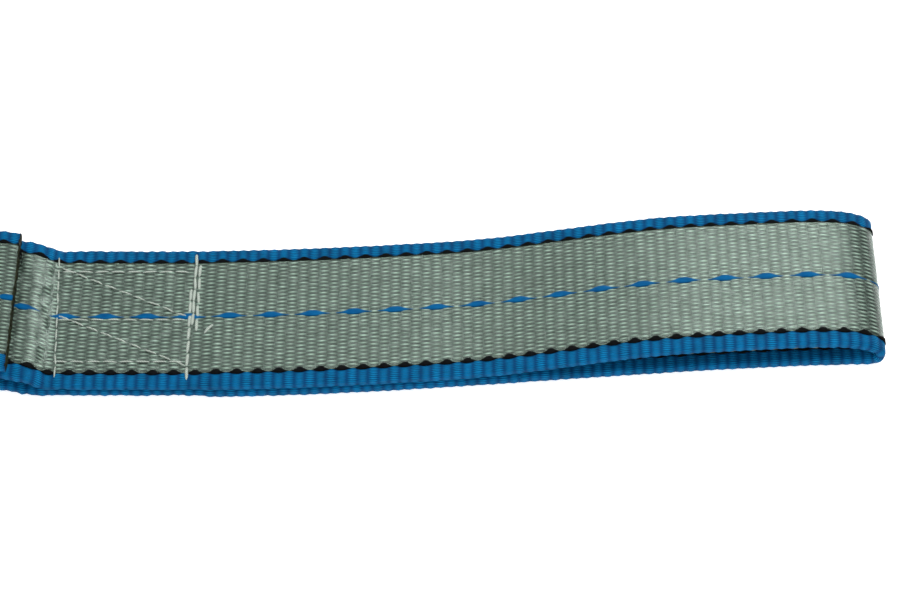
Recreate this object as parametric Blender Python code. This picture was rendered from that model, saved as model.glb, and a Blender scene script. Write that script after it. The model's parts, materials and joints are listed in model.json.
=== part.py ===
"""Two-ply flat web sling with a flat eye at each end, lying on a floor.

One continuous woven web is laid as a flattened loop. Its two tails overlap in
a sewn splice, and the plies are sewn together in a throat box behind each eye.
The web is cut into hinged segments that stand in for its bending.

X runs along the sling, Y across it and Z up. The origin is the centre of the
bounding box's bottom face. Sizes are in millimetres until a mesh is written.
"""

import math

import bmesh
import bpy
from mathutils import Matrix, Vector

MM = 0.001

# Driving dimensions of the sling
LENGTH = 1000.0
WIDTH = 50.0
PLY = 3.0
GAP = 0.3

# Layers, counted from the floor
SECOND = PLY + GAP
THIRD = 2 * (PLY + GAP)

# Places along one end, measured from the middle of the sling
BODY_HINGE = 110.0
THROAT_HINGE = 258.0
BOX_START = 263.0
BOX_END = 303.0
UPPER_THROAT_HINGE = 309.0
LOWER_EYE_HINGE = 396.0
CROWN = LENGTH / 2

# Splice of the two tails
UNDER_TAIL_START = 126.0
OVER_TAIL_END = 252.0
TAIL_LOFT = 2.5
LOFT_START = 222.0
LOFT_PEAK = 244.0
LOFT_END = 262.5

# The seams press the plies together, which leaves room for the thread
SQUEEZE = 0.3
THREAD_ROOM = 0.9
RAMP = 5.0
SPLICE_SEAM_START = 132.0
SPLICE_SEAM_END = 216.0

# The eye: the upper leg rises to a low hump and folds down at the crown
HALF = PLY / 2
FOLD_RADIUS = 2.5
HUMP_START = 376.0
HUMP_TOP = 446.0
HUMP_END = 466.0
LEG_LIFT = SECOND + HALF
CROWN_PIVOT = (CROWN - HALF, HALF + FOLD_RADIUS)
LOWER_PIVOT = (LOWER_EYE_HINGE, HALF)
THROAT_PIVOT = (UPPER_THROAT_HINGE, LEG_LIFT)
UPPER_PIVOT = (
    THROAT_PIVOT[0] + CROWN_PIVOT[0] - LOWER_PIVOT[0],
    THROAT_PIVOT[1] + CROWN_PIVOT[1] - LOWER_PIVOT[1],
)
FOLD_TURN = math.radians(50)
SET_BACK = HALF + GAP
NOSE_STEPS = 4

# Sideways lie of the sling on the floor: at the body, the throat and the crown
SWAY_BODY = 1.0
SWAY_THROAT = -2.0
SWAY_CROWN = 10.0

# Sewing thread and label
THREAD_WIDE = 0.9
THREAD_HIGH = 0.5
TURN_RADIUS = 0.7
TURN_STEPS = 4
SEAM_MARGIN = 3.5
ROW_MARGIN = 8.5
CROSS_PASSES = 3
CROSS_PITCH = 1.6
SPLICE_TURNS = 4
LABEL_LONG = 76.0
LABEL_WIDE = 36.0
LABEL_THICK = 0.6
LABEL_HEM = 3.0


def clear_scene():
    for thing in list(bpy.data.objects):
        bpy.data.objects.remove(thing, do_unlink=True)


def make_material(name, colour, roughness):
    material = bpy.data.materials.new(name)
    material.use_nodes = True
    shader = material.node_tree.nodes["Principled BSDF"]
    shader.inputs["Base Color"].default_value = (*colour, 1.0)
    shader.inputs["Roughness"].default_value = roughness
    shader.inputs["Metallic"].default_value = 0.0
    return material


def smooth(value):
    """Ease from 0 to 1 as value goes from 0 to 1."""
    value = min(max(value, 0.0), 1.0)
    return value * value * (3.0 - 2.0 * value)


def plateau(x, start, end, ramp):
    """1 between start and end, easing to 0 over the ramp outside them."""
    return smooth((x - start + ramp) / ramp) * smooth((end + ramp - x) / ramp)


def sway(x):
    """Sideways offset of the sling's centre line, turned about its middle."""
    reach = abs(x)
    aside = SWAY_BODY * smooth(reach / 200.0)
    aside += (SWAY_THROAT - SWAY_BODY) * smooth((reach - 244.0) / 22.0)
    aside += (SWAY_CROWN - SWAY_THROAT) * smooth((reach - 300.0) / 210.0)
    return math.copysign(aside, x)


def box_squeeze(x):
    return plateau(x, BOX_START + 1.0, BOX_END + 2.0, RAMP)


def splice_squeeze(x):
    return plateau(x, SPLICE_SEAM_START, SPLICE_SEAM_END, RAMP)


def bottom_ply(x, spliced):
    press = box_squeeze(x) + (splice_squeeze(x) if spliced else 0.0)
    return THREAD_ROOM * press, PLY + SQUEEZE * press


def second_ply(x, spliced):
    """Lower and upper face of the ply in the second layer."""
    box = box_squeeze(x)
    seam = splice_squeeze(x) if spliced else 0.0
    rise = smooth((x - LOFT_START) / (LOFT_PEAK - LOFT_START))
    fall = smooth((LOFT_END - x) / (LOFT_END - OVER_TAIL_END))
    loft = TAIL_LOFT * rise * fall if spliced else 0.0
    low = SECOND + SQUEEZE * (box + seam) + loft
    return low, SECOND + PLY - SQUEEZE * box + loft


def over_tail(x):
    """The over-tail climbs from the second layer onto the under-tail's end."""
    climb = smooth((x - BODY_HINGE - 3.0) / (UNDER_TAIL_START - BODY_HINGE - 5.0))
    loft = TAIL_LOFT * smooth((x - LOFT_START) / (LOFT_PEAK - LOFT_START))
    low = SECOND + (THIRD - SECOND) * climb + loft
    return low, low + PLY - SQUEEZE * splice_squeeze(x)


def spread(start, end, step):
    """Evenly spaced places from start to end, at most step apart."""
    count = max(1, math.ceil((end - start) / step))
    return [start + (end - start) * i / count for i in range(count + 1)]


def flat_sections(faces, start, end, step, *args):
    """Upper and lower point at each place of a ply that lies flat."""
    sections = []
    for x in spread(start, end, step):
        low, high = faces(x, *args)
        sections.append(((x, high), (x, low)))
    return sections


def thicken(path, nose_first, nose_last):
    """Upper and lower points of a ply along the path of its middle surface."""
    points = [Vector(point) for point in path]
    last = len(points) - 1
    sections = []
    for i, point in enumerate(points):
        along = (points[min(i + 1, last)] - points[max(i - 1, 0)]).normalized()
        across = Vector((-along.y, along.x)) * HALF
        sections.append((point + across, point - across))
    if nose_first:
        sections = nose(points[0], points[1] - points[0], -1)[::-1] + sections
    if nose_last:
        sections = sections + nose(points[-1], points[-1] - points[-2], 1)
    return sections


def nose(centre, along, way):
    """Half-round end about a pivot, from near its widest section to its tip."""
    along = along.normalized()
    across = Vector((-along.y, along.x)) * HALF
    sections = []
    for i in range(1, NOSE_STEPS + 1):
        angle = math.pi / 2 * i / NOSE_STEPS
        middle = centre + along * way * HALF * math.sin(angle)
        spread_out = across * math.cos(angle)
        sections.append((middle + spread_out, middle - spread_out))
    return sections


def hump_height(x):
    """Middle surface of the upper leg, from the throat to the hump's top."""
    lift = UPPER_PIVOT[1] - LEG_LIFT
    at_pivot = smooth((UPPER_PIVOT[0] - HUMP_START) / (HUMP_TOP - HUMP_START))
    return LEG_LIFT + lift / at_pivot * smooth((x - HUMP_START) / (HUMP_TOP - HUMP_START))


def bezier(start, start_handle, end_handle, end, steps):
    points = []
    for i in range(1, steps + 1):
        t = i / steps
        s = 1.0 - t
        weights = (s ** 3, 3 * s * s * t, 3 * s * t * t, t ** 3)
        corners = (start, start_handle, end_handle, end)
        points.append(tuple(sum(w * c[k] for w, c in zip(weights, corners)) for k in (0, 1)))
    return points


def fold_point(angle):
    """Point of the crown's fold, by its angle above the outermost point."""
    centre = (CROWN_PIVOT[0] - FOLD_RADIUS, CROWN_PIVOT[1])
    return (
        centre[0] + FOLD_RADIUS * math.cos(angle),
        centre[1] + FOLD_RADIUS * math.sin(angle),
    )


def upper_inner_path():
    end = UPPER_PIVOT[0] - SET_BACK
    return [(x, hump_height(x)) for x in spread(UPPER_THROAT_HINGE, end, 9.0)]


def upper_outer_path():
    path = [(x, hump_height(x)) for x in spread(UPPER_PIVOT[0], HUMP_END, 6.0)]
    shoulder = fold_point(FOLD_TURN)
    slope = (math.sin(FOLD_TURN), -math.cos(FOLD_TURN))
    top = path[-1]
    path += bezier(
        top,
        (top[0] + 13.0, top[1]),
        (shoulder[0] - 7.0 * slope[0], shoulder[1] - 7.0 * slope[1]),
        shoulder,
        6,
    )
    set_back_turn = SET_BACK / FOLD_RADIUS
    path.append(fold_point(set_back_turn))
    return path


def lower_outer_path():
    fold = [fold_point(-math.pi / 2 * i / 5) for i in range(6)]
    floor_end = fold[-1][0]
    leg = [(x, HALF) for x in spread(LOWER_EYE_HINGE, floor_end, 20.0)]
    return leg[:-1] + fold[::-1]


def ply_mesh(name, sections, material):
    """Closed solid of a ply: each section spans the width of the web."""
    shape = bmesh.new()
    rings = []
    for upper, lower in sections:
        tip = math.hypot(upper[0] - lower[0], upper[1] - lower[1]) < 0.01
        ring = []
        for x, z in (upper,) if tip else (upper, lower):
            for side in (-1, 1):
                y = sway(x) + side * WIDTH / 2
                ring.append(shape.verts.new((x * MM, y * MM, z * MM)))
        rings.append(ring if not tip else ring + ring)
    for first, second in zip(rings, rings[1:]):
        for a, b in ((0, 1), (1, 3), (3, 2), (2, 0)):
            corners = [first[a], first[b], second[b], second[a]]
            add_face(shape, corners)
    add_face(shape, [rings[0][k] for k in (0, 1, 3, 2)])
    add_face(shape, [rings[-1][k] for k in (0, 1, 3, 2)])
    return finish_mesh(shape, name, material)


def add_face(shape, corners):
    """Add a face, leaving out corners that meet at a tip."""
    unique = list(dict.fromkeys(corners))
    if len(unique) > 2:
        shape.faces.new(unique)


def finish_mesh(shape, name, material):
    bmesh.ops.recalc_face_normals(shape, faces=shape.faces)
    bmesh.ops.triangulate(shape, faces=shape.faces)
    mesh = bpy.data.meshes.new(name)
    shape.to_mesh(mesh)
    shape.free()
    mesh.materials.append(material)
    return mesh


def rounded(points, closed=False):
    """The same route with every corner turned on a small arc."""
    corners = [Vector(point) for point in points]
    count = len(corners)
    route = []
    for i, corner in enumerate(corners):
        if not closed and i in (0, count - 1):
            route.append(corner)
            continue
        back = (corners[i - 1] - corner).normalized()
        ahead = (corners[(i + 1) % count] - corner).normalized()
        half_angle = back.angle(ahead) / 2
        inward = (back + ahead).normalized()
        centre = corner + inward * TURN_RADIUS / math.sin(half_angle)
        sweep = math.pi / 2 - half_angle
        turn = 1 if back.cross(ahead) > 0 else -1
        for k in range(TURN_STEPS + 1):
            angle = turn * sweep * (2.0 * k / TURN_STEPS - 1.0)
            spoke = Matrix.Rotation(-angle, 2) @ -inward
            route.append(centre + spoke * TURN_RADIUS)
    return route


def thread_mesh(name, points, low, material, closed=False):
    """One sewing thread along a route on a flat face, offset with the sway."""
    route = rounded(points, closed)
    count = len(route)
    shape = bmesh.new()
    rings = []
    for i, point in enumerate(route):
        before = route[i - 1] if closed or i else point
        after = route[(i + 1) % count] if closed or i < count - 1 else point
        along = (after - before).normalized()
        across = Vector((-along.y, along.x)) * THREAD_WIDE / 2
        ring = []
        for side, z in ((-1, low), (1, low), (1, low + THREAD_HIGH), (-1, low + THREAD_HIGH)):
            place = point + across * side
            ring.append(shape.verts.new((place.x * MM, (place.y + sway(place.x)) * MM, z * MM)))
        rings.append(ring)
    pairs = list(zip(rings, rings[1:]))
    if closed:
        pairs.append((rings[-1], rings[0]))
    for first, second in pairs:
        for k in range(4):
            n = (k + 1) % 4
            shape.faces.new((first[k], first[n], second[n], second[k]))
    if not closed:
        shape.faces.new(rings[0])
        shape.faces.new(rings[-1])
    return finish_mesh(shape, name, material)


def lock_stitch(name, points, top, material):
    """Needle thread on the upper face and bobbin thread under the bottom ply."""
    below = THREAD_ROOM - GAP - THREAD_HIGH
    levels = {f"{name}_needle_thread": top, f"{name}_bobbin_thread": below}
    return {part: thread_mesh(part, points, low, material) for part, low in levels.items()}


def throat_threads(side, thread):
    """The three seams of a throat box: cross, back and W seam."""
    top = SECOND + PLY - SQUEEZE + GAP
    edge = WIDTH / 2 - SEAM_MARGIN
    row = WIDTH / 2 - ROW_MARGIN
    start, end = BOX_START + 3.5, BOX_END - 4.0
    cross = []
    for i in range(CROSS_PASSES):
        x = BOX_END + (i - 1) * CROSS_PITCH
        far = edge if i % 2 else -edge
        cross += [(x, far), (x, -far)]
    back = [(BOX_START + 1.0, -edge), (BOX_START + 1.0, edge)]
    w_seam = []
    for y in (row, 0.0, -row):
        w_seam += [(end, y), (start, y)]
    meshes = {}
    for seam, points in (("cross", cross), ("back", back), ("w", w_seam)):
        meshes.update(lock_stitch(f"{side}_throat_{seam}", points, top, thread))
    return meshes


def splice_threads(thread):
    """A cross seam, a zigzag along the tails, and a second cross seam."""
    top = THIRD + PLY - SQUEEZE + GAP
    edge = WIDTH / 2 - ROW_MARGIN
    stride = (SPLICE_SEAM_END - SPLICE_SEAM_START) / SPLICE_TURNS
    points = [(SPLICE_SEAM_START, -edge)]
    for i in range(SPLICE_TURNS + 1):
        far = -edge if i % 2 else edge
        points.append((SPLICE_SEAM_START + i * stride, far))
    points.append((SPLICE_SEAM_END, -far))
    return lock_stitch("splice", points, top, thread)


def add_empty(name, place, parent=None, turn=0.0):
    """An empty on a joint's axis, placed relative to its parent's axis."""
    empty = bpy.data.objects.new(name, None)
    bpy.context.scene.collection.objects.link(empty)
    empty.location = Vector(place) * MM
    empty.rotation_euler.z = turn
    empty.parent = parent
    return empty


def add_piece(name, mesh, axis=None, place=(0.0, 0.0, 0.0)):
    """A piece whose origin is on the axis at place, under the axis's empty."""
    mesh.transform(Matrix.Translation(-Vector(place) * MM))
    piece = bpy.data.objects.new(name, mesh)
    bpy.context.scene.collection.objects.link(piece)
    piece.parent = axis
    return piece


def relative(place, parent_place):
    return tuple(a - b for a, b in zip(place, parent_place))


def axis_place(x, z):
    return (x, sway(x), z)


def add_body(web, fabric, thread):
    """Middle of the sling: two plies and the blank label sewn onto them."""
    reach = BODY_HINGE - GAP / 2
    layers = {"body_bottom_ply": bottom_ply, "body_top_ply": second_ply}
    for name, faces in layers.items():
        sections = flat_sections(faces, -reach, reach, 28.0, False)
        add_piece(name, ply_mesh(name, sections, web))
    top = SECOND + PLY + GAP
    shape = bmesh.new()
    place = Matrix.Translation(Vector((0.0, 0.0, top + LABEL_THICK / 2)) * MM)
    size = Matrix.Diagonal((LABEL_LONG * MM, LABEL_WIDE * MM, LABEL_THICK * MM, 1.0))
    bmesh.ops.create_cube(shape, size=1.0, matrix=place @ size)
    add_piece("label", finish_mesh(shape, "label", fabric))
    x, y = LABEL_LONG / 2 - LABEL_HEM, LABEL_WIDE / 2 - LABEL_HEM
    corners = [(-x, -y), (x, -y), (x, y), (-x, y)]
    low = top + LABEL_THICK + GAP
    add_piece("label_thread", thread_mesh("label_thread", corners, low, thread, closed=True))


def body_meshes(side, spliced, web):
    start, end = BODY_HINGE + GAP / 2, THROAT_HINGE - GAP / 2
    bottom = f"{side}_body_bottom_ply"
    meshes = {bottom: flat_sections(bottom_ply, start, end, 5.0, spliced)}
    if spliced:
        under = flat_sections(second_ply, UNDER_TAIL_START, end, 5.0, True)
        meshes["splice_under_tail"] = under
        meshes["splice_over_tail"] = flat_sections(over_tail, start, OVER_TAIL_END, 5.0)
    else:
        meshes[bottom] = flat_sections(bottom_ply, start, end, 30.0, False)
        top = flat_sections(second_ply, start, end, 30.0, False)
        meshes[f"{side}_body_top_ply"] = top
    return {name: ply_mesh(name, sections, web) for name, sections in meshes.items()}


def throat_meshes(side, spliced, web):
    start = THROAT_HINGE + GAP / 2
    squeezed = BOX_END + 2.0 + RAMP
    bottom = flat_sections(bottom_ply, start, squeezed, 2.5, False)
    bottom += flat_sections(bottom_ply, squeezed + 20.0, LOWER_EYE_HINGE - SET_BACK, 20.0, False)
    top = flat_sections(second_ply, start, UPPER_THROAT_HINGE - SET_BACK, 2.5, spliced)
    names = {f"{side}_throat_bottom_ply": bottom, f"{side}_throat_top_ply": top}
    return {name: ply_mesh(name, sections, web) for name, sections in names.items()}


def add_end(side, turn, spliced, web, thread):
    """One end of the sling: body stretch, throat box and eye on their hinges."""
    body_at = axis_place(BODY_HINGE, SECOND + PLY + GAP)
    throat_at = axis_place(THROAT_HINGE, second_ply(THROAT_HINGE, spliced)[1] + GAP)
    inner_at = axis_place(*THROAT_PIVOT)
    outer_at = axis_place(*UPPER_PIVOT)
    crown_at = axis_place(*CROWN_PIVOT)

    end = add_empty(f"{side}_end", (0.0, 0.0, 0.0), turn=turn)
    body = add_empty(f"{side}_body_axis", body_at, end)
    throat = add_empty(f"{side}_throat_axis", relative(throat_at, body_at), body)
    inner = add_empty(f"{side}_eye_open_axis", relative(inner_at, throat_at), throat)
    outer = add_empty(f"{side}_upper_leg_axis", relative(outer_at, inner_at), inner)
    crown = add_empty(f"{side}_crown_axis", relative(crown_at, outer_at), outer)

    on_body = body_meshes(side, spliced, web)
    if spliced:
        on_body.update(splice_threads(thread))
    for name, mesh in on_body.items():
        add_piece(name, mesh, body, body_at)
    on_throat = {**throat_meshes(side, spliced, web), **throat_threads(side, thread)}
    for name, mesh in on_throat.items():
        add_piece(name, mesh, throat, throat_at)

    legs = (
        ("upper_inner", thicken(upper_inner_path(), True, False), inner, inner_at),
        ("upper_outer", thicken(upper_outer_path(), True, False), outer, outer_at),
        ("lower_outer", thicken(lower_outer_path(), True, True), crown, crown_at),
    )
    for leg, sections, axis, place in legs:
        name = f"{side}_eye_{leg}"
        add_piece(name, ply_mesh(name, sections, web), axis, place)


def main():
    clear_scene()
    web = make_material("grey polyester web", (0.30, 0.33, 0.31), 0.75)
    thread = make_material("grey sewing thread", (0.42, 0.45, 0.43), 0.6)
    fabric = make_material("blue label fabric", (0.03, 0.14, 0.42), 0.6)
    add_body(web, fabric, thread)
    add_end("right", 0.0, True, web, thread)
    add_end("left", math.pi, False, web, thread)


main()
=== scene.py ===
"""Looks of the two-ply flat web sling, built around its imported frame.

The sling is one woven web laid as a flattened loop, so every ply is cut from one
long path: it starts at the under-tail, runs out over the right eye, back under the
whole body, round the left eye and home along the top to the over-tail. The weave
is counted in picks along that path, so it lines up wherever two pieces meet.
"""
import json
import math

import bmesh
import bpy
import numpy as np
from mathutils import Matrix, Vector


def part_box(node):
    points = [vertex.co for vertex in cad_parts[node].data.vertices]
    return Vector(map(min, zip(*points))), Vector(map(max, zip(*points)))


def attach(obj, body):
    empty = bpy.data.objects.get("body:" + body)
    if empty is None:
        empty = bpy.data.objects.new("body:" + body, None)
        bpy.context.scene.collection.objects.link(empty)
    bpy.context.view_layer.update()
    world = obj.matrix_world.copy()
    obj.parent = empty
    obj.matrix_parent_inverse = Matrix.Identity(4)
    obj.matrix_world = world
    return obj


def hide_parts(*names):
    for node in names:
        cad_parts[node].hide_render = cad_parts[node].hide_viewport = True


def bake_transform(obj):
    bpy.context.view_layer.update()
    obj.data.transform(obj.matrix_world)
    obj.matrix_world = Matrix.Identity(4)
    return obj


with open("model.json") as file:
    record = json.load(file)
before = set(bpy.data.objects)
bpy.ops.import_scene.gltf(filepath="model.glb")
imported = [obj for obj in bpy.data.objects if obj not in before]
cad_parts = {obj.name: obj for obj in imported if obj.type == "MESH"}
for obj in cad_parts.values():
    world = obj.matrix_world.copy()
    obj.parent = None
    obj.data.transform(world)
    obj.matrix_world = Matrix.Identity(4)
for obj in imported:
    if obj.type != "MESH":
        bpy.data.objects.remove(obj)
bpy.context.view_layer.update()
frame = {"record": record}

MM = 0.001

# Places and levels that the frame gives
HINGES = {j["name"]: Vector(j["pos_m"]) for j in frame["record"]["behaviour"]["joints"]}
BOTTOM_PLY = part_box("body_bottom_ply")
TOP_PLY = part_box("body_top_ply")
PLY = BOTTOM_PLY[1].z - BOTTOM_PLY[0].z
HALF = PLY / 2
LAYER = TOP_PLY[0].z - BOTTOM_PLY[0].z
BODY_HINGE = HINGES["right_body_bend"].x
THROAT_HINGE = HINGES["right_eye_fold"].x
EYE_ROOT = HINGES["right_eye_open"]
LEG_BEND = HINGES["right_upper_leg_bend"]
CROWN_PIVOT = HINGES["right_crown_open"]
OPEN_PIVOT = EYE_ROOT.x + CROWN_PIVOT.x - LEG_BEND.x
UNDER_TAIL_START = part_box("splice_under_tail")[0].x
OVER_TAIL_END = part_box("splice_over_tail")[1].x
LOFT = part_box("splice_over_tail")[1].z - 3 * LAYER
HUMP_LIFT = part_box("right_eye_upper_outer")[1].z - LAYER - PLY
FOLD_RADIUS = CROWN_PIVOT.z - HALF
PATH_SPARE = 4 * MM

# Weave of the web
PICK_GUIDE = 2.955 * MM
END_PITCH = 0.68 * MM
GROUND_ENDS = 30
GROUND_HALF = GROUND_ENDS * END_PITCH
WEB_HALF = 25.0 * MM
SELVEDGE_INNER = GROUND_HALF - 0.3 * MM
SELVEDGE_TWILL = 0.62 * MM
FLOAT_HEIGHT = 0.10 * MM
GROUND_RIB = 0.02 * MM
SELVEDGE_RIB = 0.11 * MM
UNEVENNESS = 0.30 * MM

# Lie of the web, in distances from the middle of the sling
HUMP_START = 376 * MM
HUMP_TOP = 446 * MM
HUMP_END = 466 * MM
BOX_SEAM = (264 * MM, 305 * MM)
SPLICE_SEAM = (132 * MM, 216 * MM)
SEAM_EASE = 5 * MM
SEAM_PRESS = 0.3 * MM
SWAY_STEPS = (
    (1.0 * MM, 0.0, 200 * MM),
    (-3.0 * MM, 244 * MM, 22 * MM),
    (12.0 * MM, 300 * MM, 210 * MM),
)

# Sewing
STITCH_PITCH = 4.3 * MM
THREAD_SLACK = 0.10


def ease(t):
    t = np.clip(t, 0.0, 1.0)
    return t * t * (3.0 - 2.0 * t)


def plateau(x, start, end, ramp):
    """1 between start and end, easing to 0 over the ramp outside them."""
    return ease((x - start + ramp) / ramp) * ease((end + ramp - x) / ramp)


def sway(x):
    """Sideways lie of the sling on the floor, as the plies of the frame have it."""
    reach = np.abs(x)
    aside = sum(by * ease((reach - start) / span) for by, start, span in SWAY_STEPS)
    return np.sign(x) * aside


# ---- web path


def box_press(x):
    """How far the throat box's seams press its plies together."""
    return plateau(x, *BOX_SEAM, SEAM_EASE)


def splice_press(x):
    """How far the splice's seam presses its plies together."""
    return plateau(x, *SPLICE_SEAM, SEAM_EASE)


def tail_loft(x):
    """Rise of the loose ends of the splice above the layer they lie on."""
    return LOFT * ease((x - 222 * MM) / (22 * MM))


def upper_leg(x):
    """Middle height of the second layer outside the splice, at a distance x."""
    climb = ease((x - HUMP_START) / (HUMP_TOP - HUMP_START))
    return LAYER + HALF + HUMP_LIFT * climb


def upper_right(x):
    """Under-tail, throat top and upper leg: height and half thickness."""
    fall = ease((263 * MM - x) / (7 * MM))
    splice = SEAM_PRESS / 2 * splice_press(x)
    height = upper_leg(x) + tail_loft(x) * fall + splice
    return height, HALF - SEAM_PRESS * box_press(x) - splice


def upper_left(x):
    """Left upper leg, body top and over-tail: height and half thickness."""
    out = -x
    climb = ease((x - BODY_HINGE - 3 * MM) / (11 * MM))
    splice = SEAM_PRESS / 2 * splice_press(x)
    height = upper_leg(out) + LAYER * climb + tail_loft(x) - splice
    return height, HALF - SEAM_PRESS * box_press(out) - splice


def lower(x):
    """Lower leg and bottom ply: height and half thickness."""
    press = box_press(np.abs(x)) + np.where(x > 0, splice_press(x), 0.0)
    return HALF + 2 * SEAM_PRESS * press, HALF - SEAM_PRESS * press


def crown_arc():
    """From the end of the hump round the fold to the lower ply, on the right."""
    centre_x = CROWN_PIVOT.x - FOLD_RADIUS
    turn = math.radians(50)
    shoulder = np.array([
        centre_x + FOLD_RADIUS * math.cos(turn),
        CROWN_PIVOT.z + FOLD_RADIUS * math.sin(turn),
    ])
    slope = np.array([math.sin(turn), -math.cos(turn)])
    hump = np.array([HUMP_END, upper_leg(HUMP_END)])
    corners = (hump, hump + (13 * MM, 0.0), shoulder - 7 * MM * slope, shoulder)
    t = np.linspace(0.0, 1.0, 200)[1:, None]
    s = 1.0 - t
    weights = (s ** 3, 3 * s * s * t, 3 * s * t * t, t ** 3)
    curve = sum(w * c for w, c in zip(weights, corners))
    angles = np.linspace(turn, -math.pi / 2, 90)[1:]
    fold = np.stack([
        centre_x + FOLD_RADIUS * np.cos(angles),
        CROWN_PIVOT.z + FOLD_RADIUS * np.sin(angles),
    ], axis=1)
    return np.concatenate([curve, fold])


class WebPath:
    """Middle line of the whole web, by its length from the under-tail."""

    def __init__(self):
        step = 0.1 * MM
        out = np.arange(UNDER_TAIL_START - PATH_SPARE, HUMP_END, step)
        crown = crown_arc()
        across = np.arange(crown[-1, 0] - step, -crown[-1, 0], -step)
        home = np.arange(-HUMP_END, OVER_TAIL_END + PATH_SPARE, step)
        runs = {
            "outward": (out, *upper_right(out)),
            "right_crown": (crown[:, 0], crown[:, 1], np.full(len(crown), HALF)),
            "under": (across, *lower(across)),
            "left_crown": (-crown[::-1, 0], crown[::-1, 1], np.full(len(crown), HALF)),
            "home": (home, *upper_left(home)),
        }
        self.x, self.z, self.half = (np.concatenate(part) for part in zip(*runs.values()))
        steps = np.hypot(np.diff(self.x), np.diff(self.z))
        self.length = np.concatenate([[0.0], np.cumsum(steps)])
        self.ranges = {}
        start = 0
        for name, run in runs.items():
            self.ranges[name] = (start, start + len(run[0]))
            start += len(run[0])

    def length_at(self, run, x):
        """Length along the web where the named run passes the place x."""
        a, b = self.ranges[run]
        places, lengths = self.x[a:b], self.length[a:b]
        if places[0] > places[-1]:
            places, lengths = places[::-1], lengths[::-1]
        return float(np.interp(x, places, lengths))

    def read(self, lengths):
        """Place and half thickness at each length."""
        return [np.interp(lengths, self.length, line) for line in (self.x, self.z, self.half)]

    def at(self, lengths):
        """Place, outward direction and half thickness at each length."""
        x, z, half = self.read(lengths)
        reach = 0.35 * MM
        ahead, behind = self.read(lengths + reach), self.read(lengths - reach)
        dx, dz = ahead[0] - behind[0], ahead[1] - behind[1]
        size = np.hypot(dx, dz)
        return x, z, -dz / size, dx / size, half


PATH = WebPath()
RIGHT_PIVOT_LENGTH = PATH.length_at("under", OPEN_PIVOT)
LEFT_PIVOT_LENGTH = PATH.length_at("under", -OPEN_PIVOT)
PIVOT_SPAN = LEFT_PIVOT_LENGTH - RIGHT_PIVOT_LENGTH
PICK = PIVOT_SPAN / round(PIVOT_SPAN / PICK_GUIDE)


def pick_at(run, x):
    """Number of the gap between picks that is nearest to a place on a run."""
    return round((PATH.length_at(run, x) - RIGHT_PIVOT_LENGTH) / PICK)


# ---- mesh making


def in_scene(name, data):
    """A new object in the scene for a mesh, a light or a camera."""
    thing = bpy.data.objects.new(name, data)
    bpy.context.scene.collection.objects.link(thing)
    return thing


def bridge(first, second, flip=False):
    """Faces between two rows of points: equal rows, or the first twice as fine."""
    faces = []
    if len(first) == len(second):
        for i in range(len(first) - 1):
            faces.append((first[i], second[i], second[i + 1], first[i + 1]))
    else:
        for i in range(len(second) - 1):
            middle = first[2 * i + 1]
            faces.append((first[2 * i], second[i], middle))
            faces.append((middle, second[i], second[i + 1]))
            faces.append((middle, second[i + 1], first[2 * i + 2]))
    return [face[::-1] for face in faces] if flip else faces


def grid_faces(index, flip=False):
    """Faces of a sheet: index holds one row of points in each row."""
    a, b = index[:-1, :-1].ravel(), index[1:, :-1].ravel()
    c, d = index[1:, 1:].ravel(), index[:-1, 1:].ravel()
    quads = np.stack([d, c, b, a] if flip else [a, b, c, d], axis=1)
    return [tuple(quad) for quad in quads.tolist()]


def make_mesh(name, points, faces, values=None, sharp=(), outward=None):
    """Smooth piece, with a UV map and point attributes where values are given."""
    mesh = bpy.data.meshes.new(name)
    mesh.from_pydata(points.tolist(), [], faces)
    mesh.polygons.foreach_set("use_smooth", [True] * len(mesh.polygons))
    if outward is not None:
        layer = mesh.attributes.new("outward", "FLOAT_VECTOR", "POINT")
        layer.data.foreach_set("vector", np.asarray(outward, np.float32).ravel())
    if values:
        for key, data in values.items():
            layer = mesh.attributes.new(key, "FLOAT", "POINT")
            layer.data.foreach_set("value", np.asarray(data, np.float32))
        corner = np.empty(len(mesh.loops), np.int32)
        mesh.loops.foreach_get("vertex_index", corner)
        uv = np.stack([np.asarray(values[k])[corner] for k in ("along", "across")], axis=1)
        mesh.uv_layers.new(name="UVMap").data.foreach_set("uv", uv.astype(np.float32).ravel())
    if len(sharp):
        marked = np.zeros(len(points), bool)
        marked[np.asarray(sharp)] = True
        ends = np.empty(len(mesh.edges) * 2, np.int32)
        mesh.edges.foreach_get("vertices", ends)
        edge = marked[ends].reshape(-1, 2).all(axis=1)
        layer = mesh.attributes.new("sharp_edge", "BOOLEAN", "EDGE")
        layer.data.foreach_set("value", edge)
    return in_scene(name, mesh)


def keep_result(piece, modifier):
    """Put the result of a modifier in place of the piece's mesh."""
    shown = piece.evaluated_get(bpy.context.evaluated_depsgraph_get())
    mesh = bpy.data.meshes.new_from_object(shown)
    piece.modifiers.remove(modifier)
    old = piece.data
    piece.data = mesh
    bpy.data.meshes.remove(old)
    mesh.name = piece.name


def bake_nodes(piece, tree, inputs):
    """Run a Geometry Nodes tree on a piece and keep the result as a plain mesh."""
    modifier = piece.modifiers.new(tree.name, "NODES")
    modifier.node_group = tree
    for item in tree.interface.items_tree:
        if item.item_type == "SOCKET" and item.in_out == "INPUT" and item.name in inputs:
            modifier[item.identifier] = inputs[item.name]
    keep_result(piece, modifier)


# ---- node trees


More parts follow.
